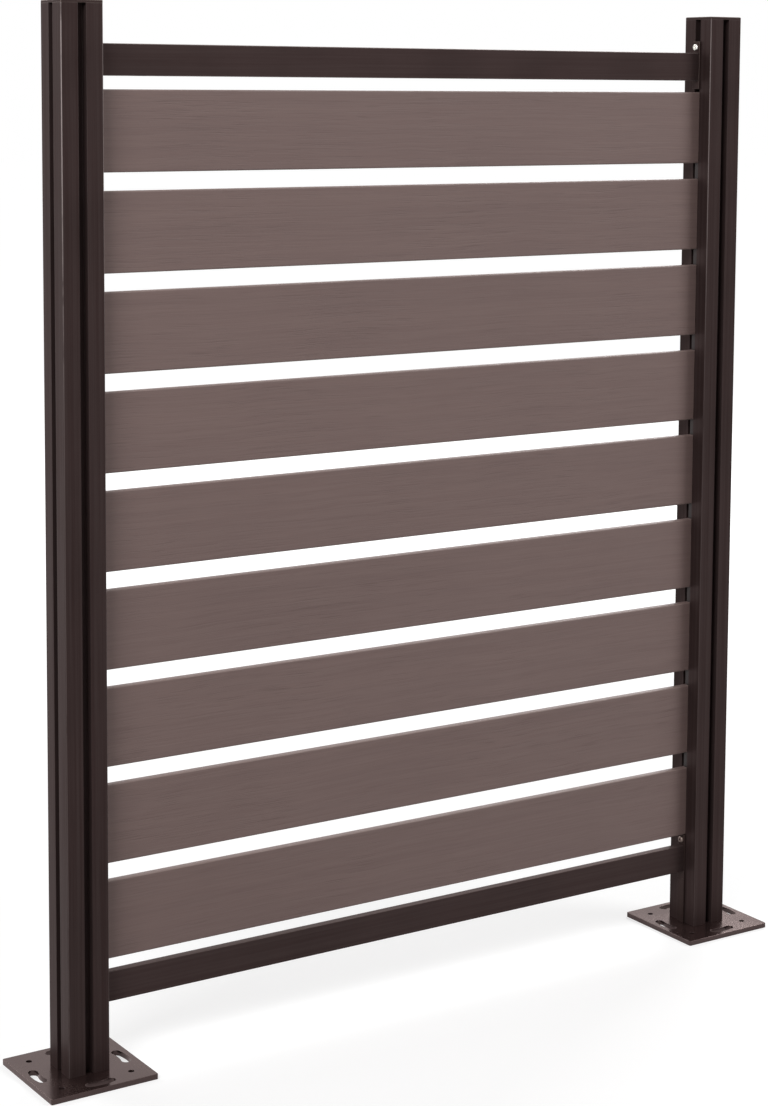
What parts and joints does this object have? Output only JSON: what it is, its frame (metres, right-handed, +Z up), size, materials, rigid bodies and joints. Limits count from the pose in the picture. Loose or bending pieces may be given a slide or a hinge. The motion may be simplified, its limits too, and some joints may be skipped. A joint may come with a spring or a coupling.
{
  "type": "garden privacy screen",
  "caption": "Slatted garden privacy screen: horizontal boards held in grooved square posts between a top and a bottom rail, each post on a slotted base plate.",
  "frame": {"origin": "on the ground, midway between the two posts", "axes": "+X along the fence, towards the post that is on the right when seen from the front; the front faces -Y; +Z up"},
  "size_m": [1.03, 0.13, 1.1895],
  "materials": {
    "post_finish": "dark bronze brown powder coat on extruded aluminium, satin",
    "rail_finish": "dark bronze brown powder coat on aluminium tube, satin",
    "bracket_finish": "dark bronze brown powder coat, satin",
    "cap_finish": "dark bronze brown powder coat, satin",
    "plate_finish": "dark bronze brown powder coat on steel, semi-gloss",
    "slat_board": "taupe wood-plastic composite, matte, fine grain along the board",
    "spacer_plastic": "dark brown moulded plastic, matte",
    "screw_steel": "stainless steel, bright"
  },
  "bodies": {
    "root": {"left_base_plate": "plate_finish", "left_base_screws": "screw_steel", "left_post": "post_finish", "left_post_cap": "cap_finish", "left_support_strip": "bracket_finish", "left_spacer_1": "spacer_plastic", "left_spacer_2": "spacer_plastic", "left_spacer_3": "spacer_plastic", "left_spacer_4": "spacer_plastic", "left_spacer_5": "spacer_plastic", "left_spacer_6": "spacer_plastic", "left_spacer_7": "spacer_plastic", "left_spacer_8": "spacer_plastic", "top_left_bracket": "bracket_finish", "top_left_bracket_screw": "screw_steel", "bottom_left_bracket": "bracket_finish", "bottom_left_bracket_screw": "screw_steel", "right_base_plate": "plate_finish", "right_base_screws": "screw_steel", "right_post": "post_finish", "right_post_cap": "cap_finish", "right_support_strip": "bracket_finish", "right_spacer_1": "spacer_plastic", "right_spacer_2": "spacer_plastic", "right_spacer_3": "spacer_plastic", "right_spacer_4": "spacer_plastic", "right_spacer_5": "spacer_plastic", "right_spacer_6": "spacer_plastic", "right_spacer_7": "spacer_plastic", "right_spacer_8": "spacer_plastic", "top_right_bracket": "bracket_finish", "top_right_bracket_screw": "screw_steel", "bottom_right_bracket": "bracket_finish", "bottom_right_bracket_screw": "screw_steel", "top_rail": "rail_finish", "bottom_rail": "rail_finish", "slat_1": "slat_board", "slat_2": "slat_board", "slat_3": "slat_board", "slat_4": "slat_board", "slat_5": "slat_board", "slat_6": "slat_board", "slat_7": "slat_board", "slat_8": "slat_board", "slat_9": "slat_board"}
  },
  "joints": []
}
